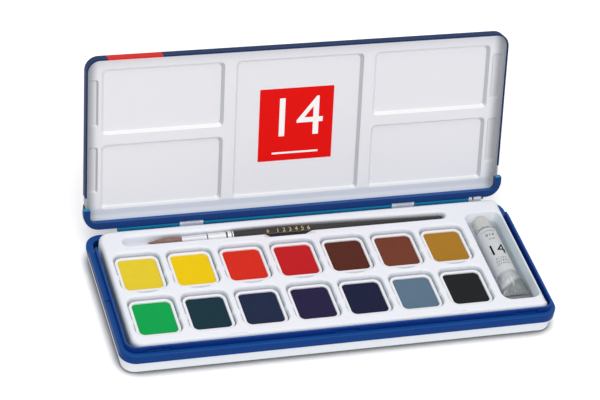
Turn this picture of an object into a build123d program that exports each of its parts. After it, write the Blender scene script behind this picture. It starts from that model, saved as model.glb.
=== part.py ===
from build123d import *
import math
import os

# A flat gouache paint set box: white base shell, blue collar, lift-out tray with pans,
# brush and tube, and a hinged lid with a mixing palette inside.
# Millimetres. X runs along the box, Y to the back, Z up; the origin is the centre of the
# underside. The lid is modelled closed and then turned open about the hinge pin.

# ---- driving dimensions: case ----
BOX_W = 275.0            # outer width over the blue collar
BOX_D = 111.0            # outer depth over the blue collar
COLLAR_R = 10.0          # plan corner radius of the collar
SHELL_INSET = 2.0        # the white shell stands back this far under the collar
SHELL_WALL = 1.6
SHELL_FLOOR = 1.6
SHELL_EDGE_R = 1.8       # rounding of the shell's bottom edge
COLLAR_Z0 = 9.3          # lower edge of the collar's outer face
SHELL_TOP = 11.4         # the shell's rim, hidden in the collar
REAR_LEDGE_Z = 12.0      # collar height round the hinge side
LEDGE_Z = 15.2           # collar height round the front and sides
COLLAR_STEP_IN = 16.5    # from the rear: where the collar drops to the rear height
LIP_INSET = 2.95         # outer face of the inner lip, from the collar's outer face
LIP_WALL = 1.3
SKIRT_Z0 = 3.0           # the lip's wall runs down inside the shell to here
LIP_TOP = 19.4
LIP_END_IN = 19.0        # the lip stops short of the lid's hinge band
CATCH_W = 14.5           # catch recesses in the front of the lip
CATCH_H = 2.4
CATCH_DEPTH = 0.8
CATCH_PITCH = 115.5
LEDGE_MARK_W = 1.2       # drain notch across each side ledge
LEDGE_MARK_IN = 62.8     # from the rear

# ---- driving dimensions: hinge and lid ----
PIN_OUT = 1.8            # hinge pin axis, behind the collar
PIN_Z = 14.5
PIN_R = 1.0
PIN_CLEARANCE = 0.06     # radial, in the band's barrel
LUG_BORE_CLEARANCE = 0.02
BARREL_R = 2.1
BARREL_IN_LEFT = 21.9    # the barrel stops short of the collar's sides
BARREL_IN_RIGHT = 22.0
WINDOW_W = 15.8          # gaps in the barrel for the base's lugs
WINDOW_IN_LEFT = 68.7    # their middles, from the collar's sides
WINDOW_IN_RIGHT = 66.7
LUG_W = 2.2
LUG_R = 1.75            # the lugs' eyes round the pin
WEB_R = 1.45             # the lower eye between the two lugs of a window
LUG_GAP = 0.3            # side play between a lug and the barrel
END_LUG_W = 2.3
STOP_LUG_W = 5.2
STOP_LUG_GAP = 1.1
PIN_END = 1.6            # the pin shows this far past the last lug
SWING_CLEARANCE = 0.25   # round the lugs, in the band
LID_ANGLE = 107.5        # opening angle at rest
LID_INSET = 1.7          # lid skirt, from the collar's outer face
LID_SEAT_GAP = 0.2       # lid rim over the ledge
LID_HEIGHT = 7.5         # rim to outside of the lid's top
LID_SHEET = 0.4
LID_R = 8.5
LID_EDGE_R = 1.2         # rounding between the lid's top and skirt
HEM_W = 1.0              # folded rim of the lid's skirt
HEM_H = 0.8
SKIRT_END_IN = 19.5      # from the rear: the side skirts are cut away from here to the band's arms
NOTCH_D = 0.3            # the cut goes this far into the top sheet
LID_BACK_INSET = 0.7     # lid's rear skirt, from the band's rear face
BAND_BACK_PROUD = 0.9    # hinge band stands out past the collar at the back
BAND_SIDE_INSET = 0.2    # and in from it at the sides
BAND_WALL = 4.1          # its thickness at the sides
BAND_REAR_WALL = 4.6
BAND_H = 4.0
ARM_L = 13.4             # length of its arms
BAND_Z_GAP = 0.3         # over the collar's rear ledge
BAND_INNER_R = 3.5
BAND_EDGE_R = 0.5

# ---- driving dimensions: mixing palette in the lid ----
PALETTE_SHEET = 0.6
PALETTE_LIP_GAP = 0.3    # palette's flat over the lip when shut
WELL_DEPTH = 2.2
WELL_SLOPE = 1.7         # plan width of a well's sloping wall
WELL_R = 3.2
WELL_EDGE_R = 0.5
PALETTE_COVE_R = 2.4     # hollow between the palette's flat and its rear wall
PALETTE_INNER_R = 0.8    # the same at the front and sides
PALETTE_JOIN = 0.9       # the rim's flange, where the panel meets it
WELL_IN = 12.1           # outer edge of the side wells, from the collar's sides
WELL_INNER_X = 48.4      # inner edge of the side wells
WELL_MIDDLE_X = 41.2     # half width of the middle well
WELL_IN_FRONT = 9.9
WELL_IN_BACK = 9.3
WELL_SPLIT_Y = 0.2       # centre of the bar between side wells
WELL_SPLIT_W = 6.4
THUMB_W = 6.2            # shallow recesses at the ends of the palette
THUMB_L = 30.4
THUMB_DEPTH = 1.2
THUMB_SLOPE = 1.0
THUMB_YS = (-24.0, 19.6)
THUMB_GAP = 1.9          # from the side well's edge
LABEL_SIDE = 48.1
LABEL_SHEET = 0.15
LABEL_X = -0.8
LABEL_Y = -0.6

# ---- driving dimensions: tray ----
TRAY_GAP = 1.05          # tray wall inside the lip
TRAY_LEFT_GAP = 2.85     # the same at the left, where a finger lifts the tray
TRAY_BACK_GAP = 4.55     # from the collar's rear face
TRAY_R = 8.0
TRAY_TOP = 19.0
TRAY_SHEET = 0.9
TRAY_EDGE_R = 3.0
TRAY_RIGHT_EDGE_R = 1.0  # its drop beside the tube recess
TRAY_RIGHT_R = 4.0
PAN_COLUMNS = 7
PAN_ROWS = 2
PAN_MARGIN_LEFT = 2.5    # tray's edge to the columns of pans
PAN_MARGIN_RIGHT = 4.9   # columns to the tube recess
PAN_MARGIN_FRONT = 4.8   # tray's edge to the rows of pans
PAN_MARGIN_BACK = 8.57   # rows to the middle of the brush channel
PAN_BAR_X = 5.63         # between pans of a row
PAN_BAR_Y = 8.02         # between the rows
PAN_R = 5.1
PAN_WALL = 1.8
PAN_FLOOR = 1.2
PAN_H = 11.0
PAN_RIM_Z = 17.0
PAN_EDGE_R = 0.5
PAINT_DROP = 1.0         # paint surface under the pan's rim
PAINT_EDGE_R = 0.35
POCKET_SIDE_GAP = 0.7    # beside a pan
POCKET_BACK_GAP = 2.2
POCKET_FRONT_GAP = 0.5
POCKET_R = 6.0
POCKET_LIP_R = 1.5       # rounding of a pocket's rim
NUB_R = 6.0              # bulges that hold a pan at its sides
NUB_Y = -3.0
NUB_CLEARANCE = 0.15
FINGER_R = 18.0          # crescent notch in front of each back-row pan
FINGER_D = 3.2
FINGER_Z = 15.2
CHANNEL_IN = 10.55       # brush channel, from the tray's back
CHANNEL_W = 7.8
CHANNEL_NARROW_R = 3.1   # half its width at the handle's end
CHANNEL_NARROW_IN = 0.7  # its middle is this much further forward there
CHANNEL_TAPER_X = 10.0   # it narrows from here
CHANNEL_IN_LEFT = 13.9
CHANNEL_IN_RIGHT = 38.9
CHANNEL_LIP_R = 1.8
SCOOP_X = -11.5          # finger scoop beside the brush
SCOOP_TOP_W = 37.0
SCOOP_FLAT_W = 20.0
SCOOP_Z = 14.6
SCOOP_OUT = 7.8          # its reach in front of the channel's middle
RECESS_W = 21.5          # tube recess, at its floor
RECESS_IN_RIGHT = 3.9    # from the tray's edges
RECESS_IN_FRONT = 9.7
RECESS_IN_BACK = 13.95
RECESS_R = 5.0
RECESS_FLOOR_R = 3.0
RECESS_FLARE_Z = 12.5    # its walls lean outwards above here
RECESS_FLARE_SIDE = 2.0
RECESS_FLARE_END = 1.6
RECESS_LIP_R = 0.6
EDGE_NOTCH_W = 11.0      # lift notches in the tray's front edge
EDGE_NOTCH_DEPTH = 0.6
EDGE_NOTCH_D = 2.6
EDGE_NOTCH_PITCH = 139.0
EDGE_NOTCH_X = 3.0       # middle of the pair

# ---- driving dimensions: brush and tube ----
BRUSH_Z = 15.5           # axis of the brush
HAIR_GAP = 16.1          # channel's end to the hair's tip
HAIR_L = 21.2
HAIR_R = 2.45
FERRULE_L = 32.8
FERRULE_R0 = 2.35
FERRULE_R1 = 3.15
FERRULE_SHEET = 0.25
CRIMP_AT = 28.6          # crimp ring, from the ferrule's front
HANDLE_GAP = 1.1         # handle's end to the channel's end
HANDLE_R = 3.65
HANDLE_END_R = 1.35
HANDLE_BELLY_AT = 26.0
SEAT_GAP = 0.3           # round a lying brush or tube
TUBE_R = 6.7
TUBE_WALL = 0.2
TUBE_FRONT_GAP = 4.0     # recess to the folded end
TUBE_FOLD_L = 4.0
TUBE_FOLD_T = 1.7
TUBE_FLAT_L = 21.5       # the body is round from here to the shoulder
TUBE_BACK_GAP = 12.8     # shoulder to the recess's back
TUBE_SHOULDER_L = 2.6
NOZZLE_R = 2.9
NOZZLE_L = 6.0
NOZZLE_BORE_R = 1.6
CAP_R = 5.2
CAP_L = 9.0
CAP_GAP = 0.25
CAP_FLUTES = 24
CAP_FLUTE_R = 0.42

# ---- worked out from the driving dimensions ----
HALF_W = BOX_W / 2
HALF_D = BOX_D / 2
COLLAR_STEP_Y = HALF_D - COLLAR_STEP_IN
LIP_END_Y = HALF_D - LIP_END_IN
LEDGE_MARK_Y = HALF_D - LEDGE_MARK_IN
PIN_Y = HALF_D + PIN_OUT
BARREL_X0 = -HALF_W + BARREL_IN_LEFT
BARREL_X1 = HALF_W - BARREL_IN_RIGHT
WINDOW_XS = (-HALF_W + WINDOW_IN_LEFT, HALF_W - WINDOW_IN_RIGHT)
LID_RIM_Z = LEDGE_Z + LID_SEAT_GAP
LID_TOP_Z = LID_RIM_Z + LID_HEIGHT
BAND_Z0 = REAR_LEDGE_Z + BAND_Z_GAP
BAND_Z1 = BAND_Z0 + BAND_H
BAND_HALF_W = HALF_W - BAND_SIDE_INSET
BAND_BACK_Y = HALF_D + BAND_BACK_PROUD
BAND_INNER_Y = BAND_BACK_Y - BAND_REAR_WALL
BAND_END_Y = BAND_BACK_Y - ARM_L
LID_BACK_Y = BAND_BACK_Y - LID_BACK_INSET
SKIRT_END_Y = HALF_D - SKIRT_END_IN
FLAT_Z = LIP_TOP + PALETTE_LIP_GAP
WELL_FLOOR_Z = FLAT_Z + WELL_DEPTH
WELL_OUTER_X = HALF_W - WELL_IN
WELL_FRONT_Y = -HALF_D + WELL_IN_FRONT
WELL_BACK_Y = HALF_D - WELL_IN_BACK
TRAY_INSET = LIP_INSET + LIP_WALL + TRAY_GAP
TRAY_X0 = -HALF_W + LIP_INSET + LIP_WALL + TRAY_LEFT_GAP
TRAY_X1 = HALF_W - TRAY_INSET
TRAY_MID_X = (TRAY_X0 + TRAY_X1) / 2
TRAY_FRONT_Y = -HALF_D + TRAY_INSET
TRAY_BACK_Y = HALF_D - TRAY_BACK_GAP
CHANNEL_Y = TRAY_BACK_Y - CHANNEL_IN
CHANNEL_X0 = TRAY_X0 + CHANNEL_IN_LEFT
CHANNEL_X1 = TRAY_X1 - CHANNEL_IN_RIGHT
CHANNEL_Z = BRUSH_Z - HANDLE_R - SEAT_GAP
SCOOP_Y0 = CHANNEL_Y - SCOOP_OUT
RECESS_X1 = TRAY_X1 - RECESS_IN_RIGHT
RECESS_X0 = RECESS_X1 - RECESS_W
RECESS_Y0 = TRAY_FRONT_Y + RECESS_IN_FRONT
RECESS_Y1 = TRAY_BACK_Y - RECESS_IN_BACK
PANS_X0 = TRAY_X0 + PAN_MARGIN_LEFT
PANS_Y0 = TRAY_FRONT_Y + PAN_MARGIN_FRONT
PAN_PITCH_X = (RECESS_X0 - PAN_MARGIN_RIGHT - PANS_X0) / PAN_COLUMNS
PAN_PITCH_Y = (CHANNEL_Y - PAN_MARGIN_BACK - PANS_Y0) / PAN_ROWS
PAN_W = PAN_PITCH_X - PAN_BAR_X
PAN_D = PAN_PITCH_Y - PAN_BAR_Y
PAN_Z0 = PAN_RIM_Z - PAN_H
TUBE_X = (RECESS_X0 + RECESS_X1) / 2
TUBE_Z = TRAY_TOP - TUBE_R - SEAT_GAP
TUBE_FLOOR_Z = TUBE_Z - TUBE_R - SEAT_GAP
TUBE_FRONT_Y = RECESS_Y0 + TUBE_FRONT_GAP
TUBE_ROUND_Y = TUBE_FRONT_Y + TUBE_FLAT_L
TUBE_SHOULDER_Y = RECESS_Y1 - TUBE_BACK_GAP
HAIR_X0 = CHANNEL_X0 + HAIR_GAP
FERRULE_X0 = HAIR_X0 + HAIR_L
HANDLE_X0 = FERRULE_X0 + FERRULE_L
HANDLE_L = CHANNEL_X1 - HANDLE_GAP - HANDLE_X0
BIG = 400.0


def slab(w, d, r, z0, z1, x=0.0, y=0.0):
    """A plate with rounded plan corners, centred on x, y."""
    return Pos(x, y, z0) * extrude(RectangleRounded(w, d, r), z1 - z0)


def block(x0, x1, y0, y1, z0, z1):
    """A plain box between two corners."""
    return Pos((x0 + x1) / 2, (y0 + y1) / 2, (z0 + z1) / 2) * Box(x1 - x0, y1 - y0, z1 - z0)


def case_slab(inset, z0, z1):
    """A plate that follows the collar's outline, set in by inset."""
    return slab(BOX_W - 2 * inset, BOX_D - 2 * inset, COLLAR_R - inset, z0, z1)


def rod_x(x0, x1, y, z, r):
    """A cylinder along X."""
    return Pos(x0, y, z) * Rot(0, 90, 0) * extrude(Circle(r), x1 - x0)


def edges_at(part, z, tol=0.01):
    """Edges that lie flat at height z."""
    return [e for e in part.edges() if abs(e.bounding_box().min.Z - z) < tol
            and abs(e.bounding_box().max.Z - z) < tol]


def window_spans():
    """X range of the lug piece in each window of the barrel."""
    return [(x - WINDOW_W / 2 + LUG_GAP, x + WINDOW_W / 2 - LUG_GAP) for x in WINDOW_XS]


def lug_spans():
    """X ranges of the full-height lugs that carry the hinge pin."""
    spans = []
    for near, far in window_spans():
        spans += [(near, near + LUG_W), (far - LUG_W, far)]
    end = BARREL_X1 + LUG_GAP
    stop = end + END_LUG_W + STOP_LUG_GAP
    return spans + [(end, end + END_LUG_W), (stop, stop + STOP_LUG_W)]


def lug_profile(r, grow=0.0):
    """Side view of a lug: an eye of radius r on a foot that leans out of the shell's rear wall."""
    y0 = HALF_D - SHELL_INSET - SHELL_WALL / 2
    top = REAR_LEDGE_Z + BAND_Z_GAP / 2
    foot = Polyline((y0, COLLAR_Z0 - 4.5), (HALF_D + grow, COLLAR_Z0 - 2.5), (PIN_Y + r + grow, PIN_Z),
                    (PIN_Y - r - grow, PIN_Z), (PIN_Y - r - grow, top),
                    (HALF_D - SHELL_INSET - grow, SHELL_TOP - 0.8), (y0, SHELL_TOP - 1.0), close=True)
    eye = Pos(PIN_Y, PIN_Z) * Circle(r + grow)
    return make_face(foot) + eye


def lug(x0, x1, r=LUG_R, grow=0.0):
    """A lug between x0 and x1, or the slot it needs when grown."""
    profile = Plane.YZ * lug_profile(r, grow)
    return Pos(x0 - grow, 0, 0) * extrude(profile, x1 - x0 + 2 * grow)


def base_shell():
    shell = case_slab(SHELL_INSET, 0, SHELL_TOP)
    shell = fillet(edges_at(shell, 0), SHELL_EDGE_R)
    shell -= case_slab(SHELL_INSET + SHELL_WALL, SHELL_FLOOR, SHELL_TOP + 1)
    for x0, x1 in window_spans():
        shell += lug(x0, x1, WEB_R)
    for x0, x1 in lug_spans():
        shell += lug(x0, x1)
    shell -= case_slab(SHELL_INSET + SHELL_WALL, SHELL_FLOOR, SHELL_TOP + 1)
    bore = rod_x(BARREL_X0, HALF_W, PIN_Y, PIN_Z, PIN_R + LUG_BORE_CLEARANCE)
    return shell - bore


def collar():
    inner = LIP_INSET + LIP_WALL
    rear = case_slab(0, COLLAR_Z0, REAR_LEDGE_Z)
    rear = fillet(edges_at(rear, COLLAR_Z0), 0.4)
    high = case_slab(0, REAR_LEDGE_Z - 0.5, LEDGE_Z)
    high = fillet(edges_at(high, LEDGE_Z), 0.9)
    high &= block(-BIG, BIG, -BIG, COLLAR_STEP_Y, 0, BIG)
    ring = rear + high
    ring -= case_slab(SHELL_INSET, COLLAR_Z0 - 1, SHELL_TOP)
    ring -= case_slab(inner, 0, BIG)
    lip = case_slab(LIP_INSET, LEDGE_Z - 0.5, LIP_TOP) - case_slab(inner, 0, BIG)
    lip = fillet(edges_at(lip, LIP_TOP), 0.35)
    lip &= block(-BIG, BIG, -BIG, LIP_END_Y, 0, BIG)
    skirt = case_slab(SHELL_INSET + SHELL_WALL, SKIRT_Z0, SHELL_TOP + 0.5) - case_slab(inner, 0, BIG)
    ring += lip + skirt
    z0 = LEDGE_Z + 0.8
    face = -HALF_D + LIP_INSET
    for n in (-1, 0, 1):
        x = n * CATCH_PITCH + 0.5
        ring -= block(x - CATCH_W / 2, x + CATCH_W / 2, face - 0.5, face + CATCH_DEPTH, z0, z0 + CATCH_H)
    mark = block(HALF_W - LIP_INSET, HALF_W + 1, LEDGE_MARK_Y, LEDGE_MARK_Y + LEDGE_MARK_W,
                 LEDGE_Z - 0.6, LEDGE_Z + 1)
    ring -= mark + mirror(mark, Plane.YZ)
    for x0, x1 in window_spans() + lug_spans()[-2:]:
        ring -= lug(x0, x1, grow=0.25)
    return ring


def hinge_pin():
    return rod_x(BARREL_X0 + 1, lug_spans()[-1][1] + PIN_END, PIN_Y, PIN_Z, PIN_R)


def opened(part):
    """Turns a lid part from shut to its rest pose."""
    axle = Pos(0, PIN_Y, PIN_Z)
    return axle * Rot(-LID_ANGLE, 0, 0) * axle.inverse() * part


def lid_slab(inset, z0, z1):
    """A plate under the lid's outline, set in by inset."""
    half = HALF_W - LID_INSET - inset
    front, back = -HALF_D + LID_INSET + inset, LID_BACK_Y - inset
    return slab(2 * half, back - front, LID_R - inset, z0, z1, 0, (front + back) / 2)


def behind(y, z0, z1):
    """Everything behind y between two heights."""
    return block(-BIG, BIG, y, BIG, z0, z1)


def lid_shell():
    body = lid_slab(0, LID_RIM_Z, LID_TOP_Z)
    body = fillet(edges_at(body, LID_TOP_Z), LID_EDGE_R)
    body -= lid_slab(HEM_W, LID_RIM_Z - 1, LID_RIM_Z + HEM_H)
    body -= lid_slab(LID_SHEET, LID_RIM_Z + HEM_H, LID_TOP_Z - LID_SHEET)
    body -= behind(SKIRT_END_Y, 0, BAND_Z1)
    inner = HALF_W - LID_INSET - LID_SHEET - NOTCH_D
    for x0, x1 in ((-BIG, -inner), (inner, BIG)):
        body -= block(x0, x1, SKIRT_END_Y, BAND_END_Y, 0, BIG)
    return body


def well(x0, x1, y0, y1, z1, slope, r, floor_r):
    """A mixing well: a tapered pocket that opens downwards when the lid is shut."""
    w, d = x1 - x0, y1 - y0
    cx, cy = (x0 + x1) / 2, (y0 + y1) / 2
    mouth = Pos(cx, cy, FLAT_Z) * RectangleRounded(w, d, r)
    bed = Pos(cx, cy, z1) * RectangleRounded(w - 2 * slope, d - 2 * slope, r)
    part = loft([mouth, bed])
    part = fillet(edges_at(part, z1), floor_r)
    return part + slab(w, d, r, FLAT_Z - 1, FLAT_Z, cx, cy)


def wells():
    """The five mixing wells."""
    z1 = WELL_FLOOR_Z
    split0, split1 = WELL_SPLIT_Y - WELL_SPLIT_W / 2, WELL_SPLIT_Y + WELL_SPLIT_W / 2
    spans = [(-WELL_MIDDLE_X, WELL_MIDDLE_X, WELL_FRONT_Y, WELL_BACK_Y)]
    for x0, x1 in ((-WELL_OUTER_X, -WELL_INNER_X), (WELL_INNER_X, WELL_OUTER_X)):
        spans += [(x0, x1, WELL_FRONT_Y, split0), (x0, x1, split1, WELL_BACK_Y)]
    return [well(*span, z1, WELL_SLOPE, WELL_R, WELL_EDGE_R) for span in spans]


def thumb_recesses():
    """Shallow recesses beside the outer wells."""
    found = []
    x0 = WELL_OUTER_X + THUMB_GAP
    for y in THUMB_YS:
        one = well(x0, x0 + THUMB_W, y - THUMB_L / 2, y + THUMB_L / 2,
                   FLAT_Z + THUMB_DEPTH, THUMB_SLOPE, 1.6, 0.3)
        found += [one, mirror(one, Plane.YZ)]
    return found


def palette_room(z0, z1):
    """The inside of the palette's rim: along the lid's skirt, then along the band's arms."""
    gap = LID_SHEET + 0.05 + PALETTE_SHEET
    room = lid_slab(gap, z0, z1) - behind(BAND_END_Y - 0.4, z0 - 1, z1 + 1)
    return room + band_room(z0, z1, -LID_R)


def panel_zone(z0, z1):
    """The part of the palette's plan that is its panel, within the rim's flange."""
    zone = lid_slab(LID_SHEET + 0.05 + PALETTE_SHEET + PALETTE_JOIN, z0, z1)
    zone -= behind(BAND_END_Y - 0.4 - PALETTE_JOIN, z0 - 1, z1 + 1)
    half = BAND_HALF_W - BAND_WALL - PALETTE_JOIN
    return zone + block(-half, half, 0, BAND_INNER_Y - PALETTE_COVE_R - 0.3, z0, z1)


def palette_rim():
    """The palette's standing rim, with the flange that holds its panel."""
    z0, z1 = BAND_Z1, LID_TOP_Z - LID_SHEET
    gap = LID_SHEET + 0.05
    body = lid_slab(gap, z0, z1)
    body = fillet(edges_at(body, z1), LID_EDGE_R - 0.2)
    side = lid_slab(gap, LID_RIM_Z, z0) & block(-BIG, BIG, SKIRT_END_Y + 0.2, BAND_END_Y - 0.1, 0, BIG)
    body += side
    room = palette_room(LID_RIM_Z - 1, FLAT_Z)
    body -= fillet(edges_at(room, FLAT_Z), PALETTE_INNER_R)
    half, y, r = BAND_HALF_W - BAND_WALL, BAND_INNER_Y, PALETTE_COVE_R
    cove = block(-half, half, y - r, y, FLAT_Z - r, FLAT_Z)
    cove -= rod_x(-half - 1, half + 1, y - r, FLAT_Z - r, r)
    return body + cove - panel_zone(FLAT_Z - 1, z1 + 1)


def palette():
    """The palette's panel with its mixing wells."""
    body = panel_zone(FLAT_Z, LID_TOP_Z - LID_SHEET)
    for cut in wells() + thumb_recesses():
        body -= cut
    return body


def lid_label():
    one = slab(LABEL_SIDE, LABEL_SIDE, 0.6, WELL_FLOOR_Z - LABEL_SHEET, WELL_FLOOR_Z)
    return Pos(LABEL_X, LABEL_Y, 0) * one


def band_room(z0, z1, front):
    """The space inside the hinge band's arms, from front to its rear wall."""
    half = BAND_HALF_W - BAND_WALL
    room = block(-half, half, front, BAND_INNER_Y, z0, z1)
    return fillet([e for e in room.edges().filter_by(Axis.Z) if e.center().Y > BAND_END_Y], BAND_INNER_R)


def hinge_band():
    half = BAND_HALF_W
    body = block(-half, half, BAND_END_Y, BAND_BACK_Y, BAND_Z0, BAND_Z1)
    uprights = body.edges().filter_by(Axis.Z)
    body = fillet([e for e in uprights if e.center().Y > BAND_END_Y + 1], COLLAR_R)
    body = fillet(edges_at(body, BAND_Z0), BAND_EDGE_R)
    body -= band_room(BAND_Z0 - 1, BAND_Z1 + 1, BAND_END_Y - 9)
    end = lug_spans()[-1][1] + SWING_CLEARANCE
    gaps = [(x - WINDOW_W / 2, x + WINDOW_W / 2) for x in WINDOW_XS] + [(BARREL_X1, end)]
    starts = [BARREL_X0] + [x1 for _, x1 in gaps]
    for x0, (x1, _) in zip(starts, gaps):
        body += rod_x(x0, x1, PIN_Y, PIN_Z, BARREL_R)
    r = LUG_R + SWING_CLEARANCE
    for x0, x1 in gaps:
        body -= rod_x(x0, x1, PIN_Y, PIN_Z, r)
        body -= block(x0, x1, PIN_Y - r, PIN_Y + r, 0, PIN_Z)
    return body - rod_x(BARREL_X0 + 0.5, end + PIN_END, PIN_Y, PIN_Z, PIN_R + PIN_CLEARANCE)


def pocket(grow=0.0):
    """The recess for one pan, centred on the pan, open at the top; grow makes its outside."""
    w = PAN_W + 2 * (POCKET_SIDE_GAP + grow)
    y0, y1 = -PAN_D / 2 - POCKET_FRONT_GAP - grow, PAN_D / 2 + POCKET_BACK_GAP + grow
    outline = Pos(0, (y0 + y1) / 2) * RectangleRounded(w, y1 - y0, POCKET_R + grow)
    if not grow:
        nub_x = PAN_W / 2 + NUB_CLEARANCE + NUB_R
        for side in (-1, 1):
            outline -= Pos(side * nub_x, NUB_Y) * Circle(NUB_R)
    return outline


def pocket_room():
    """The room that one pocket takes out of the tray, with its rounded rim, centred on the pan."""
    x, y = PAN_PITCH_X / 2, PAN_PITCH_Y / 2
    cell = block(-x, x, -y, y, PAN_Z0, TRAY_TOP)
    rest = cell - Pos(0, 0, PAN_Z0) * extrude(pocket(), TRAY_TOP + 1 - PAN_Z0)
    inside = [e for e in edges_at(rest, TRAY_TOP) if abs(e.center().X) < x - 0.01]
    rim = [e for e in inside if abs(e.center().Y) < y - 0.01]
    return cell - fillet(rim, POCKET_LIP_R)


def crescent(grow=0.0):
    """The shallow finger notch in front of a pan's pocket, centred on the pan."""
    y = -PAN_D / 2 - POCKET_FRONT_GAP
    disc = Pos(0, y - FINGER_D + FINGER_R, FINGER_Z - grow) * extrude(Circle(FINGER_R + grow), TRAY_TOP)
    return disc & block(-BIG, BIG, -BIG, y + 1, 0, BIG)


def pan_places():
    """Centres of the pans, back row first, from left to right."""
    places = []
    for row in reversed(range(PAN_ROWS)):
        for column in range(PAN_COLUMNS):
            places.append((PANS_X0 + (column + 0.5) * PAN_PITCH_X, PANS_Y0 + (row + 0.5) * PAN_PITCH_Y))
    return places


def tube_recess(grow=0.0):
    """The recess for the tube, with walls that lean outwards near the top."""
    w, d = RECESS_X1 - RECESS_X0 + 2 * grow, RECESS_Y1 - RECESS_Y0 + 2 * grow
    x, y = (RECESS_X0 + RECESS_X1) / 2, (RECESS_Y0 + RECESS_Y1) / 2
    r = RECESS_R + grow
    part = slab(w, d, r, TUBE_FLOOR_Z - grow, TRAY_TOP, x, y)
    part = fillet(edges_at(part, TUBE_FLOOR_Z - grow), RECESS_FLOOR_R + grow)
    low = Pos(x, y, RECESS_FLARE_Z) * RectangleRounded(w, d, r)
    wide = w + 2 * RECESS_FLARE_SIDE
    high = Pos(x, y, TRAY_TOP) * RectangleRounded(wide, d + 2 * RECESS_FLARE_END, r + RECESS_FLARE_END)
    return part + loft([low, high])


def channel(grow=0.0):
    """The round-bottomed channel for the brush, narrower towards the handle's end."""
    r0, r1 = CHANNEL_W / 2 + grow, CHANNEL_NARROW_R + grow
    x0, x1 = CHANNEL_X0 + CHANNEL_W / 2, CHANNEL_X1 - CHANNEL_NARROW_R
    ends = Pos(x0, CHANNEL_Y) * Circle(r0) + Pos(CHANNEL_TAPER_X, CHANNEL_Y) * Circle(r0)
    ends += Pos(x1, CHANNEL_Y - CHANNEL_NARROW_IN) * Circle(r1)
    part = Pos(0, 0, CHANNEL_Z - grow) * extrude(make_hull(ends.edges()), TRAY_TOP - CHANNEL_Z + grow)
    return fillet(edges_at(part, CHANNEL_Z - grow), r1 - 0.4)


def scoop():
    """The finger scoop in the wall in front of the brush."""
    y1 = CHANNEL_Y
    outline = Polyline((SCOOP_X - SCOOP_FLAT_W / 2, SCOOP_Z), (SCOOP_X + SCOOP_FLAT_W / 2, SCOOP_Z),
                       (SCOOP_X + SCOOP_TOP_W / 2, TRAY_TOP + 1), (SCOOP_X - SCOOP_TOP_W / 2, TRAY_TOP + 1),
                       close=True)
    part = Pos(0, y1, 0) * extrude(Plane.XZ * make_face(outline), y1 - SCOOP_Y0)
    return part


def tray_outline(z0, z1, more=0.0):
    """A plate under the tray's outline, reaching further to the right by more."""
    w, d = TRAY_X1 - TRAY_X0 + more, TRAY_BACK_Y - TRAY_FRONT_Y
    return slab(w, d, TRAY_R, z0, z1, TRAY_MID_X + more / 2, (TRAY_FRONT_Y + TRAY_BACK_Y) / 2)


def tray_block():
    """The tray's outside, with a wide rounding all round except beside the tube recess."""
    more = TRAY_EDGE_R - TRAY_RIGHT_EDGE_R
    body = tray_outline(SHELL_FLOOR, TRAY_TOP, more)
    body = fillet(edges_at(body, TRAY_TOP), TRAY_EDGE_R)
    body -= block(TRAY_X1, TRAY_X1 + 9, -BIG, BIG, 0, BIG)
    uprights = body.edges().filter_by(Axis.Z)
    return fillet([e for e in uprights if e.center().X > TRAY_X1 - 0.01], TRAY_RIGHT_R)


def rims(body, x0, x1, y0, y1):
    """Edges of the tray's top face whose centres lie inside a rectangle."""
    flat = edges_at(body, TRAY_TOP)
    return [e for e in flat if x0 < e.center().X < x1 and y0 < e.center().Y < y1]


def tray_hollow():
    """The space under the tray's sheet."""
    s = TRAY_SHEET
    w, d = TRAY_X1 - TRAY_X0 - 2 * s, TRAY_BACK_Y - TRAY_FRONT_Y - 2 * s
    y = (TRAY_FRONT_Y + TRAY_BACK_Y) / 2
    hollow = slab(w, d, TRAY_R - s, SHELL_FLOOR - 1, TRAY_TOP - s, TRAY_MID_X, y)
    hollow = fillet(edges_at(hollow, TRAY_TOP - s), TRAY_EDGE_R - s)
    for x, y in pan_places():
        hollow -= Pos(x, y, PAN_Z0 - s) * extrude(pocket(s + POCKET_LIP_R / 2), TRAY_TOP)
        if y > 0:
            hollow -= Pos(x, y, 0) * crescent(s)
    hollow -= tube_recess(s) + channel(s + CHANNEL_LIP_R / 2)
    width = SCOOP_TOP_W / 2 + s
    return hollow - block(SCOOP_X - width, SCOOP_X + width, SCOOP_Y0 - 3, CHANNEL_Y, SCOOP_Z - s, BIG)


def tray():
    body = tray_block()
    room = pocket_room()
    for x, y in pan_places():
        body -= Pos(x, y, 0) * room
    for x, y in pan_places()[:PAN_COLUMNS]:
        body -= Pos(x, y, 0) * crescent()
    body -= channel()
    y0, y1 = CHANNEL_Y - CHANNEL_W / 2 - 0.1, CHANNEL_Y + CHANNEL_W / 2 + 0.1
    body = fillet(rims(body, CHANNEL_X0 - 1, CHANNEL_X1 + 1, y0, y1), CHANNEL_LIP_R)
    body -= tube_recess()
    body = fillet(rims(body, RECESS_X0 - 3, TRAY_X1 - 0.1, RECESS_Y0 - 3, RECESS_Y1 + 3), RECESS_LIP_R)
    body -= tray_hollow()
    body -= scoop()
    for side in (-0.5, 0.5):
        x = EDGE_NOTCH_X + side * EDGE_NOTCH_PITCH
        body -= Pos(x, TRAY_FRONT_Y, TRAY_TOP) * Box(EDGE_NOTCH_W, 2 * EDGE_NOTCH_D, 2 * EDGE_NOTCH_DEPTH)
    return body


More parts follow.
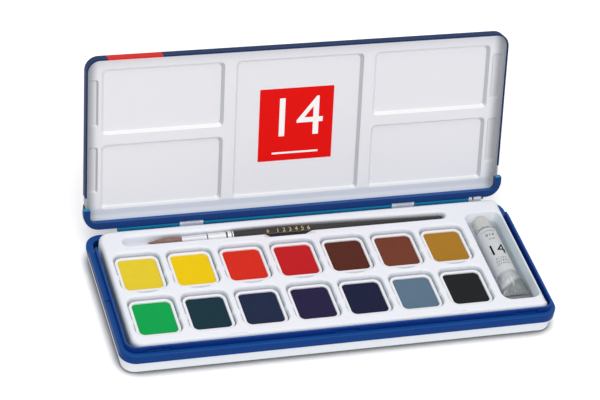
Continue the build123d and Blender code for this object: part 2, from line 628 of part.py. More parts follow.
def pan():
    """One pan, standing on its own origin."""
    cup = slab(PAN_W, PAN_D, PAN_R, 0, PAN_H)
    cup = fillet(edges_at(cup, PAN_H) + edges_at(cup, 0), PAN_EDGE_R)
    bed = slab(PAN_W - 2 * PAN_WALL, PAN_D - 2 * PAN_WALL, PAN_R - PAN_WALL, PAN_FLOOR, PAN_H + 1)
    cup -= bed
    inner = [e for e in edges_at(cup, PAN_H) if abs(e.center().X) < PAN_W / 2 - PAN_WALL + 0.1
             and abs(e.center().Y) < PAN_D / 2 - PAN_WALL + 0.1]
    return fillet(inner, PAN_EDGE_R)


def paint():
    """The block of paint in one pan."""
    top = PAN_H - PAINT_DROP
    cake = slab(PAN_W - 2 * PAN_WALL, PAN_D - 2 * PAN_WALL, PAN_R - PAN_WALL, PAN_FLOOR, top)
    return fillet(edges_at(cake, top), PAINT_EDGE_R)


def turned_x(points):
    """A solid turned about the brush's axis from (x, radius) points."""
    x0, x1 = points[0][0], points[-1][0]
    edge = Spline(*points)
    face = make_face(Curve() + [edge, Line((x1, points[-1][1]), (x1, 0)), Line((x1, 0), (x0, 0)),
                                Line((x0, 0), (x0, points[0][1]))])
    return Pos(0, CHANNEL_Y, BRUSH_Z) * revolve(Plane.XZ * face, Axis.X)


def brush_hair():
    x, length = HAIR_X0, HAIR_L
    root = FERRULE_R0 - FERRULE_SHEET - 0.05
    outline = [(x, 0.35), (x + 0.25 * length, 1.45), (x + 0.68 * length, HAIR_R), (x + length - 0.1, root)]
    plug = Pos(0, CHANNEL_Y, BRUSH_Z) * rod_x(x + length - 0.6, x + length + 3, 0, 0, root)
    return turned_x(outline) + plug


def brush_ferrule():
    x0, x1 = FERRULE_X0, HANDLE_X0
    crimp = x0 + CRIMP_AT
    outline = Polyline((x0, FERRULE_R0 - FERRULE_SHEET), (x0, FERRULE_R0), (crimp - 0.8, 2.93),
                       (crimp, 2.75), (crimp + 0.8, 2.97), (x1, FERRULE_R1),
                       (x1, FERRULE_R1 - FERRULE_SHEET), (crimp + 0.8, 2.97 - FERRULE_SHEET),
                       (crimp, 2.75 - FERRULE_SHEET), (crimp - 0.8, 2.93 - FERRULE_SHEET), close=True)
    return Pos(0, CHANNEL_Y, BRUSH_Z) * revolve(Plane.XZ * make_face(outline), Axis.X)


def brush_handle():
    x0, x1 = HANDLE_X0, HANDLE_X0 + HANDLE_L
    neck = FERRULE_R1 - FERRULE_SHEET - 0.05
    outline = [(x0, neck + 0.3), (x0 + 12, HANDLE_R - 0.15), (x0 + HANDLE_BELLY_AT, HANDLE_R),
               (x0 + 80, 2.6), (x1 - 10, HANDLE_END_R + 0.2), (x1, HANDLE_END_R)]
    body = turned_x(outline)
    body = fillet([e for e in body.edges() if abs(e.center().X - x1) < 0.01], HANDLE_END_R * 0.8)
    plug = Pos(0, CHANNEL_Y, BRUSH_Z) * rod_x(x0 - 3, x0 + 1, 0, 0, neck - 0.25)
    return body + plug


def tube_section(y, w, h):
    """A rounded section of the tube at depth y."""
    at = Plane(origin=(TUBE_X, y, TUBE_Z), x_dir=(1, 0, 0), z_dir=(0, 1, 0))
    return at * RectangleRounded(w, h, h / 2 - 0.05)


def turned_y(y0, points):
    """A solid turned about the tube's axis from (y, radius) points, starting at y0."""
    outline = Polyline((0, 0), *[(r, y) for y, r in points], (0, points[-1][0]), close=True)
    body = revolve(make_face(outline), Axis.Y)
    return Pos(TUBE_X, y0, TUBE_Z) * body


def tube_body():
    fold = TUBE_FRONT_Y + TUBE_FOLD_L
    wide = math.pi * TUBE_R - TUBE_FOLD_T
    full = 2 * TUBE_R
    sections = [tube_section(fold, wide, TUBE_FOLD_T + 0.6), tube_section(fold + 6, wide * 0.94, 7.6),
                tube_section(TUBE_ROUND_Y - 6, full + 2.0, 11.6), tube_section(TUBE_ROUND_Y, full, full)]
    body = loft(sections)
    body += extrude(tube_section(TUBE_ROUND_Y, full, full), TUBE_SHOULDER_Y - TUBE_ROUND_Y)
    body += block(TUBE_X - wide / 2, TUBE_X + wide / 2, TUBE_FRONT_Y, fold + 0.4,
                  TUBE_Z - TUBE_FOLD_T / 2, TUBE_Z + TUBE_FOLD_T / 2)
    end = TUBE_SHOULDER_L + NOZZLE_L
    body += turned_y(TUBE_SHOULDER_Y, [(0, TUBE_R - 0.4), (TUBE_SHOULDER_L, NOZZLE_R + 0.6),
                                       (TUBE_SHOULDER_L, NOZZLE_R), (end, NOZZLE_R)])
    return body - turned_y(TUBE_SHOULDER_Y - 4, [(0, NOZZLE_BORE_R), (end + 9, NOZZLE_BORE_R)])


def tube_cap():
    y0 = TUBE_SHOULDER_Y + TUBE_SHOULDER_L + CAP_GAP
    outline = Circle(CAP_R)
    for n in range(CAP_FLUTES):
        a = 2 * math.pi * n / CAP_FLUTES
        outline -= Pos(CAP_R * math.cos(a), CAP_R * math.sin(a)) * Circle(CAP_FLUTE_R)
    body = extrude(outline, CAP_L)
    body -= Pos(0, 0, -1) * extrude(Circle(NOZZLE_R + 0.08), NOZZLE_L + 1.2)
    return Pos(TUBE_X, y0, TUBE_Z) * Rot(-90, 0, 0) * body


def write(name, part):
    part.label = name
    export_step(part, "parts/" + name + ".step")


def main():
    os.makedirs("parts", exist_ok=True)
    write("base_shell", base_shell())
    write("collar", collar())
    write("hinge_pin", hinge_pin())
    write("lid_shell", opened(lid_shell()))
    write("palette", opened(palette()))
    write("palette_rim", opened(palette_rim()))
    write("lid_label", opened(lid_label()))
    write("hinge_band", opened(hinge_band()))
    write("tray", tray())
    cup, cake = pan(), paint()
    for n, (x, y) in enumerate(pan_places(), 1):
        write("pan_%02d" % n, Pos(x, y, PAN_Z0) * cup)
        write("paint_%02d" % n, Pos(x, y, PAN_Z0) * cake)
    write("brush_hair", brush_hair())
    write("brush_ferrule", brush_ferrule())
    write("brush_handle", brush_handle())
    write("tube_body", tube_body())
    write("tube_cap", tube_cap())


if __name__ == "__main__":
    main()
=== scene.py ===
import bmesh
import bpy
import math
from mathutils import Matrix, Vector, noise


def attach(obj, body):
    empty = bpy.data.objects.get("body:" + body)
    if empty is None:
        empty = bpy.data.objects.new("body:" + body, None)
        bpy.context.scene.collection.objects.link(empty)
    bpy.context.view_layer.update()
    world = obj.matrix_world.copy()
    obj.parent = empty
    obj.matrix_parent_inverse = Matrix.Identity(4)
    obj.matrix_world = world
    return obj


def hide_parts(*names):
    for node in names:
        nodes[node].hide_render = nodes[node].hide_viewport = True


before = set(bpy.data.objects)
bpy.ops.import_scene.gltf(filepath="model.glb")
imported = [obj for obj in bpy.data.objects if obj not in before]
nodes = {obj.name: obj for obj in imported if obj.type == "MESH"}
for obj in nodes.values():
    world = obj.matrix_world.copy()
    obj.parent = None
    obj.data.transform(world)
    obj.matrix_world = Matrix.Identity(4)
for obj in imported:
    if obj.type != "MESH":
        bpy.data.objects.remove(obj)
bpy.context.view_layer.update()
MM = 0.001

# Places on the box, in millimetres
PIN_Y, PIN_Z = 57.3, 14.5            # hinge pin's axis
OPEN_DEG = 107.5                     # how far the lid stands open
LIP_Z = 15.25                        # just over the collar's ledge, where its lip starts; painted shade darkens the lip above it
BARREL_NEAR = 2.2                    # just outside the hinge barrel's surface; the painted teal highlight fades out past it
ARM_X = 132.0                        # the band's arms lie outside this; their up-facing ends get a painted teal highlight
MARGIN_Z = 23.0                      # the palette's lower margin is painted a bluish shade below this, with the lid open
WALL_X0, WALL_X1 = 127.0, 133.6      # the palette is painted darker towards its side walls, as shade
PANEL_X0, PANEL_X1, PANEL_Z = -122.6, -88.6, 86.0    # red panel on the lid
LABEL_X, LABEL_Y, LABEL_Z = -0.8, -0.6, 21.73        # middle of the label's face, with the lid shut
BRUSH_Y, BRUSH_Z = 40.4, 15.5        # the brush's axis
CRIMP_X, STEP_X, FERRULE_END_X = -50.6, -63.0, -47.4      # painted shade lines round the ferrule
TUBE_X, TUBE_Z, TUBE_R = 117.55, 12.0, 6.7
FOLD_Y0, FOLD_Y1, CRUSH_Y, SHOULDER_Y = -36.5, -32.5, -18.0, 24.2
PRINT_Y = -15.0                      # the tube's white print starts near here
FACET_SLANT, FACET_Y0, FACET_Y1 = -0.45, -23.0, -26.0     # edge of the painted shade on the foil's crushed facet

PAINTS = ["#e9cf2e", "#f2cc00", "#da2a18", "#c21a20", "#57281b", "#743b29", "#ac7a22",
          "#00a54e", "#12333f", "#1b2945", "#241d43", "#151b3a", "#5d768b", "#1d1e20"]
PIN = Vector((0.0, PIN_Y * MM, PIN_Z * MM))
OPEN = Matrix.Translation(PIN) @ Matrix.Rotation(math.radians(-OPEN_DEG), 4, "X") @ Matrix.Translation(-PIN)


def lin(code):
    """A '#rrggbb' screen colour as linear light."""
    out = []
    for i in (1, 3, 5):
        v = int(code[i:i + 2], 16) / 255
        out.append(v / 12.92 if v <= 0.04045 else ((v + 0.055) / 1.055) ** 2.4)
    return out + [1.0]


def add(tree, kind, links=(), **values):
    """Adds a node; values set its properties or inputs, links feed its inputs."""
    n = tree.nodes.new("ShaderNode" + kind)
    for key, value in values.items():
        if hasattr(n, key):
            setattr(n, key, value)
        else:
            n.inputs[key.replace("_", " ")].default_value = value
    for name, source in dict(links).items():
        tree.links.new(source, n.inputs[name])
    return n


def calc(tree, operation, first, second=None):
    """One Math node; each side is a socket or a number."""
    node = add(tree, "Math", operation=operation)
    for slot, side in enumerate((first, second)):
        if isinstance(side, (int, float)):
            node.inputs[slot].default_value = side
        elif side:
            tree.links.new(side, node.inputs[slot])
    return node.outputs[0]


def blend_colour(tree, factor, first, second):
    """Mixes two colours; either may be a hex code or a socket."""
    node = add(tree, "Mix", {"Factor": factor}, data_type="RGBA")
    for slot, tone in ((6, first), (7, second)):
        if isinstance(tone, str):
            node.inputs[slot].default_value = lin(tone)
        else:
            tree.links.new(tone, node.inputs[slot])
    return node.outputs[2]


def ramp_between(tree, value, start, end):
    """0 at start, 1 at end, smooth between."""
    node = add(tree, "MapRange", {"Value": value}, interpolation_type="SMOOTHSTEP")
    node.inputs["From Min"].default_value = start
    node.inputs["From Max"].default_value = end
    return node.outputs[0]


def soft_bump(tree, where, size_mm, height_mm):
    """Slow waves in a surface."""
    cloud = add(tree, "TexNoise", {"Vector": where}, Scale=1.0 / size_mm, Detail=2.0)
    bump = add(tree, "Bump", {"Height": cloud.outputs["Fac"]}, Strength=1.0, Distance=height_mm * MM)
    return bump.outputs[0]


def coated(tree, tone, rough, spec=0.5, normal=None, metal=0.0):
    """Ends a material with one plain shader."""
    links = {"Base Color": tone}
    if normal:
        links["Normal"] = normal
    bsdf = add(tree, "BsdfPrincipled", links, Roughness=rough, Metallic=metal)
    bsdf.inputs["Specular IOR Level"].default_value = spec
    finish_surface(tree, bsdf.outputs[0])


def new_material(name):
    m = bpy.data.materials.new(name)
    m.use_nodes = True
    tree = m.node_tree
    tree.nodes.clear()
    return m, tree


def place(tree):
    """The place on the surface in millimetres, whole and split, and the way it faces."""
    coords = add(tree, "TexCoord")
    scale = add(tree, "VectorMath", {0: coords.outputs["Object"]}, operation="SCALE", Scale=1 / MM)
    split = add(tree, "SeparateXYZ", {0: scale.outputs[0]})
    facing = add(tree, "SeparateXYZ", {0: coords.outputs["Normal"]})
    return scale.outputs[0], split.outputs, facing.outputs


def finish_surface(tree, shader):
    out = add(tree, "OutputMaterial")
    tree.links.new(shader, out.inputs["Surface"])


def surface(name, colour, rough=0.4, metal=0.0, wave=0.0, wave_mm=20.0, grain=0.0, grain_mm=0.5,
            mottle=0.0, mottle_mm=12.0, spec=0.5):
    """A plain finish with a slight mottle of its colour, soft waves and a fine grain."""
    m, tree = new_material(name)
    where = place(tree)[0]
    base = lin(colour)
    cloud = add(tree, "TexNoise", {"Vector": where}, Scale=1.0 / mottle_mm, Detail=3.0)
    tone = add(tree, "Mix", {"Factor": cloud.outputs["Fac"]}, data_type="RGBA")
    tone.inputs[6].default_value = [c * (1 - mottle) for c in base[:3]] + [1.0]
    tone.inputs[7].default_value = [min(1.0, c * (1 + mottle)) for c in base[:3]] + [1.0]
    normal = None
    for height, size in ((wave, wave_mm), (grain, grain_mm)):
        if height:
            tex = add(tree, "TexNoise", {"Vector": where}, Scale=1.0 / size, Detail=2.0)
            links = {"Height": tex.outputs["Fac"]}
            if normal:
                links["Normal"] = normal
            bump = add(tree, "Bump", links, Strength=1.0, Distance=height * MM)
            normal = bump.outputs[0]
    coated(tree, tone.outputs[2], rough, spec, normal, metal)
    return m


def dress(name, material):
    o = nodes[name]
    o.data.materials.clear()
    o.data.materials.append(material)
    return o


def seat(obj, body, material):
    """Links a new piece, paints it and lets it ride on a body."""
    bpy.context.scene.collection.objects.link(obj)
    obj.data.materials.clear()
    obj.data.materials.append(material)
    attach(obj, body)
    return obj


def mesh_object(name, bm, smooth=True):
    mesh = bpy.data.meshes.new(name)
    bmesh.ops.recalc_face_normals(bm, faces=bm.faces)
    bm.to_mesh(mesh)
    bm.free()
    if smooth:
        mesh.polygons.foreach_set("use_smooth", [True] * len(mesh.polygons))
    return bpy.data.objects.new(name, mesh)


def flat_text(name, words, size, thick, spacing=1.0):
    """Printed characters as a thin mesh in the XY plane, centred on the origin; sizes in mm."""
    curve = bpy.data.curves.new(name, "FONT")
    curve.body = words
    curve.size = size * MM
    curve.extrude = thick * MM / 2
    curve.space_character = spacing
    curve.align_x = "CENTER"
    curve.align_y = "CENTER"
    holder = bpy.data.objects.new(name + "_curve", curve)
    bpy.context.scene.collection.objects.link(holder)
    bpy.context.view_layer.update()
    mesh = bpy.data.meshes.new_from_object(holder.evaluated_get(bpy.context.evaluated_depsgraph_get()))
    bpy.data.objects.remove(holder)
    mesh.name = name
    return bpy.data.objects.new(name, mesh)


CUTS, CUT_MM = 14, 0.5     # prints are cut this finely before they are bent


def bent_round(obj, y0, radius):
    """Wraps a flat print lying in XY over a rod along Y through the origin, top at +Z."""
    bm = bmesh.new()
    bm.from_mesh(obj.data)
    for k in range(-CUTS, CUTS + 1):
        bmesh.ops.bisect_plane(bm, geom=bm.verts[:] + bm.edges[:] + bm.faces[:], dist=1e-7,
                               plane_co=(k * CUT_MM * MM, 0, 0), plane_no=(1, 0, 0))
    bm.to_mesh(obj.data)
    bm.free()
    for v in obj.data.vertices:
        a = v.co.x / radius
        r = radius + v.co.z
        v.co = Vector((r * math.sin(a), v.co.y + y0, r * math.cos(a)))


white_shell = surface("white_shell", "#f5f9ff", rough=0.3, wave=0.02, mottle=0.01, spec=0.4)
pan_white = surface("pan_white", "#f3f4f8", rough=0.35, mottle=0.01)
label_red = surface("label_red", "#e90d08", rough=0.5, mottle=0.02, spec=0.08)
steel = surface("steel", "#4a4d52", rough=0.35, metal=1.0, mottle=0.03)
black = surface("black_lacquer", "#0a0a0b", rough=0.16, mottle=0.05, spec=0.75)
cap_white = surface("cap_white", "#cfd1ce", rough=0.4, mottle=0.01)
print_white = surface("print_white", "#ffffff", rough=0.5, spec=0.2)
print_black = surface("print_black", "#0e0e10", rough=0.5, spec=0.1)
print_gold = surface("print_gold", "#e6c478", rough=0.4, metal=0.3)


def blue_material(name, main, lip=True, barrel=False):
    """Satin blue plastic with painted light: top faces get a painted highlight, the lip a painted shade, and
    the barrel and the arms' ends a painted teal highlight.
    """
    m, tree = new_material(name)
    where, spot, facing = place(tree)
    tone = main
    if lip:
        # painted shade: the lip above LIP_Z is darker
        tone = blend_colour(tree, ramp_between(tree, spot["Z"], LIP_Z, LIP_Z + 0.25), tone, "#052c78")
    # painted highlight: faces turned up are paler
    tone = blend_colour(tree, ramp_between(tree, facing["Z"], 0.55, 0.95), tone, "#1d5299")
    if barrel:
        axis = add(tree, "VectorMath", {0: where}, operation="SUBTRACT")
        axis.inputs[1].default_value = (0, PIN_Y, PIN_Z)
        across = add(tree, "VectorMath", {0: axis.outputs[0]}, operation="MULTIPLY")
        across.inputs[1].default_value = (0, 1, 1)
        reach = add(tree, "VectorMath", {0: across.outputs[0]}, operation="LENGTH")
        # painted teal highlight on the barrel's surface
        near = ramp_between(tree, reach.outputs["Value"], BARREL_NEAR + 0.4, BARREL_NEAR)
        tone = blend_colour(tree, near, tone, "#178bb8")
        # painted teal highlight on the up-facing ends of the band's arms
        outside = ramp_between(tree, calc(tree, "ABSOLUTE", spot["X"]), ARM_X, ARM_X + 1)
        arm_end_highlight = calc(tree, "MULTIPLY", ramp_between(tree, facing["Z"], 0.7, 0.95), outside)
        tone = blend_colour(tree, arm_end_highlight, tone, "#2f93c0")
    coated(tree, tone, 0.35, 0.1, soft_bump(tree, where, 12.5, 0.01))
    return m


def palette_material():
    """White lid lining with painted light: slopes that face up get a painted highlight, those that face left
    and the side walls painted shade, the lower margin a bluish painted shade; faces turned down are a hair
    paler than level ones.
    """
    m, tree = new_material("palette_lining")
    where, spot, facing = place(tree)
    # painted light by facing: faces turned down are a hair paler
    tone = blend_colour(tree, ramp_between(tree, facing["Z"], -0.2, 0.12), "#eeeef3", "#ececf1")
    # painted shade on slopes that face left
    tone = blend_colour(tree, ramp_between(tree, facing["X"], -0.12, -0.5), tone, "#c3c6ca")
    # painted highlight on slopes that face up
    tone = blend_colour(tree, ramp_between(tree, facing["Z"], 0.5, 0.8), tone, "#ffffff")
    # painted bluish shade on the lower margin
    tone = blend_colour(tree, ramp_between(tree, spot["Z"], MARGIN_Z + 2, MARGIN_Z), tone, "#d3d8e2")
    # painted shade towards the side walls
    wall_shade = ramp_between(tree, calc(tree, "ABSOLUTE", spot["X"]), WALL_X0, WALL_X1)
    tone = blend_colour(tree, wall_shade, tone, "#a9acb0")
    coated(tree, tone, 0.35, 0.5, soft_bump(tree, where, 20, 0.03))
    return m


def tray_material():
    """White tray with painted shade: walls that face left are painted a cool grey."""
    m, tree = new_material("tray_white")
    where, _, facing = place(tree)
    # painted shade on walls that face left
    tone = blend_colour(tree, ramp_between(tree, facing["X"], -0.35, -0.9), "#f2f4fb", "#d2dde3")
    coated(tree, tone, 0.42, 0.5, soft_bump(tree, where, 14, 0.06))
    return m


def ferrule_material():
    """Bright rolled metal, a touch paler behind the step, with painted shade lines at the crimp, the end and
    a step in its front half.
    """
    m, tree = new_material("ferrule")
    spot = place(tree)[1]
    step = ramp_between(tree, spot["X"], STEP_X - 0.4, STEP_X + 0.4)
    tone = blend_colour(tree, step, "#f6f7fb", "#ffffff")
    # painted shade lines at the crimp, the step and the ferrule's end
    for x, width in ((CRIMP_X, 0.45), (STEP_X, 0.2), (FERRULE_END_X, 0.2)):
        away = calc(tree, "ABSOLUTE", calc(tree, "SUBTRACT", spot["X"], x))
        tone = blend_colour(tree, ramp_between(tree, away, width + 0.25, width), tone, "#55585e")
    coated(tree, tone, 0.22, metal=1.0)
    return m


def hair_material():
    """Streaks along the brush."""
    m, tree = new_material("hair")
    stretched = add(tree, "Mapping", {"Vector": place(tree)[0]})
    stretched.inputs["Scale"].default_value = (0.06, 4.5, 4.5)
    streaks = add(tree, "TexNoise", {"Vector": stretched.outputs[0]}, Scale=1.0, Detail=4.0)
    ramp = add(tree, "ValToRGB", {"Fac": streaks.outputs["Fac"]})
    for stop, (colour, position) in zip(ramp.color_ramp.elements, (("#5f443a", 0.3), ("#b08f84", 0.72))):
        stop.color = lin(colour)
        stop.position = position
    bump = add(tree, "Bump", {"Height": streaks.outputs["Fac"]}, Strength=0.6, Distance=0.15 * MM)
    coated(tree, ramp.outputs[0], 0.6, 0.2, bump.outputs[0])
    return m


def lid_material():
    """Navy enamel with a plain red panel that wraps over the front edge."""
    m, tree = new_material("lid_navy")
    where, spot, _ = place(tree)
    inside = calc(tree, "MULTIPLY", calc(tree, "GREATER_THAN", spot["X"], PANEL_X0),
                  calc(tree, "LESS_THAN", spot["X"], PANEL_X1))
    mask = calc(tree, "MULTIPLY", inside, calc(tree, "GREATER_THAN", spot["Z"], PANEL_Z))
    tone = blend_colour(tree, mask, "#15315f", "#e0221e")
    coated(tree, tone, 0.45, 0.12, soft_bump(tree, where, 50 / 3, 0.01))
    return m


def paint_material(name, colour):
    """Dried gouache: matt, a little uneven."""
    return surface(name, colour, rough=0.6, grain=0.015, grain_mm=0.4, mottle=0.035, mottle_mm=7,
                   wave=0.12, wave_mm=10, spec=0.12)


dress("base_shell", white_shell)
dress("collar", blue_material("collar_blue", "#0b3d84"))
dress("hinge_band", blue_material("band_blue", "#1b3d79", lip=False, barrel=True))
dress("hinge_pin", steel)
dress("lid_shell", lid_material())
palette_white = palette_material()
dress("palette", palette_white)
dress("palette_rim", palette_white)
dress("lid_label", label_red)
dress("tray", tray_material())
dress("brush_hair", hair_material())
dress("brush_ferrule", ferrule_material())
dress("brush_handle", black)
dress("tube_cap", cap_white)
for n, colour in enumerate(PAINTS, 1):
    dress("pan_%02d" % n, pan_white)
    dress("paint_%02d" % n, paint_material("paint_%02d" % n, colour))


# ---- the tube: printed barrel, crushed foil end and fold ----
TUBE_SIDES = 128
FOLD_HALF_W, FOLD_HALF_H = 9.65, 0.95
NOZZLE = ((TUBE_R - 0.25, 0.35), (TUBE_R - 0.6, 0.45), (3.6, 2.5), (2.9, 2.6), (2.9, 8.4), (1.6, 8.5),
          (1.6, 3.0))    # radius and distance past the shoulder


def bridge(bm, lower, upper):
    """Joins two rings of vertices with faces."""
    count = len(lower)
    for k in range(count):
        bm.faces.new((lower[k], lower[(k + 1) % count], upper[(k + 1) % count], upper[k]))


def tube_ring(y):
    """Half width and half height of the tube at depth y."""
    t = min(1.0, max(0.0, (y - FOLD_Y1) / (CRUSH_Y - FOLD_Y1)))
    w = FOLD_HALF_W + (TUBE_R - FOLD_HALF_W) * t ** 1.3
    h = FOLD_HALF_H + (TUBE_R - FOLD_HALF_H) * (1 - (1 - t) ** 2.2) ** 0.75
    return w, h


def crumple(x, y, z, w, h):
    """Moves a point of the crushed end by the creases and the dent on its top."""
    crush = min(1.0, max(0.0, (CRUSH_Y - y) / (CRUSH_Y - FOLD_Y1)))
    q = noise.noise(Vector((x * 0.22, y * 0.3, z * 0.22)))
    fine = noise.noise(Vector((x * 0.9, y * 0.25, z * 0.9 + 7)))
    push = crush * (1 - crush) * 4 * (0.45 * q + 0.22 * fine) + 0.04 * q
    x, z = x * (1 + push / w), z * (1 + push / max(h, 2.0))
    dent = crush ** 1.2 * (1 - crush) ** 0.35
    if z > 0:
        z -= 1.9 * dent * max(0.0, 1 - abs(x + 1.5 - 1.2 * q) / 6.5)
    return x, z


def tube_mesh():
    bm = bmesh.new()
    angles = [2 * math.pi * k / TUBE_SIDES for k in range(TUBE_SIDES)]
    stations = [FOLD_Y0, FOLD_Y0 + 0.3, FOLD_Y1 - 0.3, FOLD_Y1]
    for y0, y1, steps in ((FOLD_Y1, CRUSH_Y, 46), (CRUSH_Y, SHOULDER_Y, 50)):
        stations += [y0 + (y1 - y0) * (k / steps) for k in range(1, steps + 1)]
    rings = []
    for y in stations:
        w, h = tube_ring(y)
        if y <= FOLD_Y1:
            h = 0.85 if FOLD_Y0 < y < FOLD_Y1 else 0.6
        ring = []
        for a in angles:
            x, z = w * math.cos(a), h * math.sin(a)
            if y > FOLD_Y1:
                x, z = crumple(x, y, z, w, h)
            ring.append(bm.verts.new(((TUBE_X + x) * MM, y * MM, (TUBE_Z + z) * MM)))
        rings.append(ring)
    for r, past in NOZZLE:
        y = (SHOULDER_Y + past) * MM
        rings.append([bm.verts.new(((TUBE_X + r * math.cos(a)) * MM, y, (TUBE_Z + r * math.sin(a)) * MM))
                      for a in angles])
    for lower, upper in zip(rings, rings[1:]):
        bridge(bm, lower, upper)
    bm.faces.new(rings[0])
    bm.faces.new(rings[-1])
    return mesh_object("tube_shell", bm)


def tube_material():
    """White print over bare foil: foil shows at the crushed end and the shoulder, with painted shade on one
    crushed facet.
    """
    m, tree = new_material("tube_print")
    where, spot, _ = place(tree)
    wobble = add(tree, "TexNoise", {"Vector": where}, Scale=0.12, Detail=1.0)
    shifted = calc(tree, "ADD", wobble.outputs["Fac"], spot["Y"])
    mask = calc(tree, "MULTIPLY", calc(tree, "GREATER_THAN", shifted, PRINT_Y),
                calc(tree, "LESS_THAN", spot["Y"], SHOULDER_Y - 0.4))
    paper = add(tree, "BsdfPrincipled", Roughness=0.38)
    paper.inputs["Base Color"].default_value = lin("#cfd3d5")
    stretched = add(tree, "Mapping", {"Vector": where})
    stretched.inputs["Scale"].default_value = (0.55, 0.3, 0.55)
    crease = add(tree, "TexVoronoi", {"Vector": stretched.outputs[0]}, Scale=1.0, feature="DISTANCE_TO_EDGE")
    fine = add(tree, "TexNoise", {"Vector": where}, Scale=0.9, Detail=5.0)
    height = calc(tree, "ADD", crease.outputs["Distance"], fine.outputs["Fac"])
    bump = add(tree, "Bump", {"Height": height}, Strength=0.8, Distance=0.35 * MM)
    # painted shade: the foil darkens past a slanted line on its crushed facet
    slant = calc(tree, "ADD", calc(tree, "MULTIPLY", spot["X"], FACET_SLANT), spot["Y"])
    facet = ramp_between(tree, slant, FACET_SLANT * TUBE_X + FACET_Y0, FACET_SLANT * TUBE_X + FACET_Y1)
    tone = blend_colour(tree, facet, "#cbced0", "#8a8f92")
    foil = add(tree, "BsdfPrincipled", {"Normal": bump.outputs[0], "Base Color": tone}, Roughness=0.3,
               Metallic=1.0)
    mix = add(tree, "MixShader", {0: mask, 1: foil.outputs[0], 2: paper.outputs[0]})
    finish_surface(tree, mix.outputs[0])
    return m


tube = seat(tube_mesh(), "tube", tube_material())
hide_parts("tube_body")


def tube_print(name, words, size, y, spacing=1.0):
    """Black print round the tube, turned a little to the left of its top."""
    text = flat_text(name, words, size, 0.03, spacing)
    bent_round(text, y * MM, (TUBE_R + 0.06) * MM)
    middle = Matrix.Translation(Vector((TUBE_X * MM, 0, TUBE_Z * MM)))
    text.data.transform(middle @ Matrix.Rotation(math.radians(-12), 4, "Y"))
    return seat(text, "tube", print_black)


tube_print("tube_code", "014", 3.4, 17.5, 1.2)
tube_print("tube_row", "1 2 3 4 5 6 7", 1.9, 21.2)
tube_print("tube_volume", "10 ml", 1.9, 13.8)
tube_print("tube_number", "14", 12.5, 3.6, 1.0)
for step, row in enumerate(("0 1 2 3 4", "5 6 7 8 9 0", "1 2 3 4 5 6 7")):
    tube_print("tube_small_%d" % step, row, 1.9, -4.2 - 2.5 * step)


# ---- the palette's label: a plain number and a rule ----
def label_print(name, words, size, u, v):
    """White print on the label; u to the right, v up the open lid from the label's middle."""
    text = flat_text(name, words, size, 0.04)
    shut = Matrix.Translation(Vector(((LABEL_X + u) * MM, (LABEL_Y - v) * MM, LABEL_Z * MM)))
    text.data.transform(OPEN @ shut @ Matrix.Rotation(math.pi, 4, "X"))
    return seat(text, "lid", print_white)


label_print("label_number", "14", 37.0, 0, 3.4)


def label_rule(length, width, v):
    """A plain white line on the label."""
    bm = bmesh.new()
    bmesh.ops.create_cube(bm, size=1.0)
    size = Matrix.Diagonal((length * MM, width * MM, 0.04 * MM, 1))
    shut = Matrix.Translation(Vector((LABEL_X * MM, (LABEL_Y - v) * MM, LABEL_Z * MM)))
    bmesh.ops.transform(bm, matrix=OPEN @ shut @ size, verts=bm.verts)
    return seat(mesh_object("label_rule", bm, smooth=False), "lid", print_white)


label_rule(30, 1.2, -19.0)


# ---- the brush handle's print: plain gold numbers ----
def handle_print(name, words, size, x, radius):
    """Gold print along the handle, facing up and forward."""
    text = flat_text(name, words, size, 0.03, 1.25)
    turn = Matrix.Rotation(math.pi / 2, 4, "Z")
    text.data.transform(turn)
    bent_round(text, 0, radius * MM)
    middle = Matrix.Translation(Vector((x * MM, BRUSH_Y * MM, BRUSH_Z * MM)))
    text.data.transform(middle @ Matrix.Rotation(math.radians(30), 4, "X") @ turn.inverted())
    return seat(text, "brush", print_gold)


handle_print("handle_number", "1 2 3 4 5 6", 3.9, -8.0, 3.75)
handle_print("handle_size", "6", 3.2, -24.5, 3.72)


# ---- floor, lamps, camera and world ----
FLOOR_GAIN = 1.35          # the floor's colour to the camera; over 1, so that it comes out white
SHADOW_MM = 9              # reach of the contact shadow
YAW, PITCH, ROLL = -22.22, 39.83, 9.89
CAMERA_M, AIM_M, LENS_MM = 1.3829, (-0.0226, 0.0, 0.0770), 139.9


def make_floor():
    """White to the camera, with a soft shadow where the box meets it."""
    bm = bmesh.new()
    bmesh.ops.create_grid(bm, x_segments=1, y_segments=1, size=3.0)
    bmesh.ops.translate(bm, vec=(0, 0, -0.02 * MM), verts=bm.verts)
    mesh = bpy.data.meshes.new("floor")
    bm.to_mesh(mesh)
    bm.free()
    floor = bpy.data.objects.new("floor", mesh)
    bpy.context.scene.collection.objects.link(floor)
    m, tree = new_material("floor")
    path = add(tree, "LightPath")
    seen = add(tree, "BsdfDiffuse")
    contact = add(tree, "AmbientOcclusion", Distance=SHADOW_MM * MM)
    near = add(tree, "MapRange", {"Value": contact.outputs["AO"]}, From_Min=0.5, From_Max=0.88,
               To_Min=0.18 * FLOOR_GAIN, To_Max=FLOOR_GAIN)
    tree.links.new(near.outputs[0], seen.inputs["Color"])
    real = add(tree, "BsdfDiffuse")
    real.inputs["Color"].default_value = (0.82, 0.82, 0.83, 1)
    mix = add(tree, "MixShader", {0: path.outputs["Is Camera Ray"], 1: real.outputs[0], 2: seen.outputs[0]})
    finish_surface(tree, mix.outputs[0])
    floor.data.materials.append(m)


def area_lamp(name, place_m, aim_m, size, size_y, watts):
    """A rectangular lamp that points at aim_m; places and sizes in metres."""
    data = bpy.data.lights.new(name, "AREA")
    data.shape = "RECTANGLE"
    data.size = size
    data.size_y = size_y
    data.energy = watts
    lamp = bpy.data.objects.new(name, data)
    bpy.context.scene.collection.objects.link(lamp)
    lamp.location = place_m
    lamp.rotation_euler = (Vector(aim_m) - Vector(place_m)).to_track_quat("-Z", "Y").to_euler()


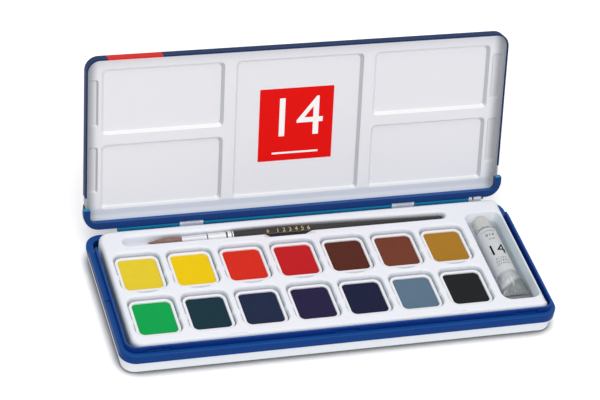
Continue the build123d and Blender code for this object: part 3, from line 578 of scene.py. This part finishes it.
def make_camera():
    """Looks down on the box from its front left, a little tilted."""
    yaw, pitch, roll = (math.radians(v) for v in (YAW, PITCH, ROLL))
    d = Vector((math.sin(yaw) * math.cos(pitch), -math.cos(yaw) * math.cos(pitch), math.sin(pitch)))
    right = (-d).cross(Vector((0, 0, 1))).normalized()
    up = right.cross(-d)
    x_axis = right * math.cos(roll) + up * math.sin(roll)
    y_axis = up * math.cos(roll) - right * math.sin(roll)
    data = bpy.data.cameras.new("camera")
    data.sensor_width = 36.0
    data.lens = LENS_MM
    data.clip_end = 20.0
    cam = bpy.data.objects.new("camera", data)
    bpy.context.scene.collection.objects.link(cam)
    at = d * CAMERA_M + Vector(AIM_M)
    cam.matrix_world = Matrix((
        (x_axis.x, y_axis.x, d.x, at.x), (x_axis.y, y_axis.y, d.y, at.y),
        (x_axis.z, y_axis.z, d.z, at.z), (0, 0, 0, 1)))
    bpy.context.scene.camera = cam


def make_world():
    """White to the camera; lights the box a little more from above than from the sides."""
    world = bpy.data.worlds.new("world")
    bpy.context.scene.world = world
    world.use_nodes = True
    tree = world.node_tree
    tree.nodes.clear()
    path = add(tree, "LightPath")
    coords = add(tree, "TexCoord")
    split = add(tree, "SeparateXYZ", {0: coords.outputs["Generated"]})
    ramp = add(tree, "MapRange", {"Value": split.outputs["Z"]}, From_Min=-0.1, From_Max=1.0, To_Min=0.45,
               To_Max=1.0)
    lit = add(tree, "Background", {"Color": ramp.outputs[0]}, Strength=0.92)
    seen = add(tree, "Background", Strength=1.0)
    seen.inputs["Color"].default_value = (1, 1, 1, 1)
    mix = add(tree, "MixShader", {0: path.outputs["Is Camera Ray"], 1: lit.outputs[0], 2: seen.outputs[0]})
    out = add(tree, "OutputWorld")
    tree.links.new(mix.outputs[0], out.inputs["Surface"])


make_floor()
make_camera()
make_world()
area_lamp("key", (-0.5, -0.5, 1.4), (0, 0, 0), 0.9, 0.9, 4)
area_lamp("fill", (0.1, -1.3, 0.5), (0, 0, 0), 1.4, 0.6, 4)

scene = bpy.context.scene
scene.view_settings.view_transform = "Standard"
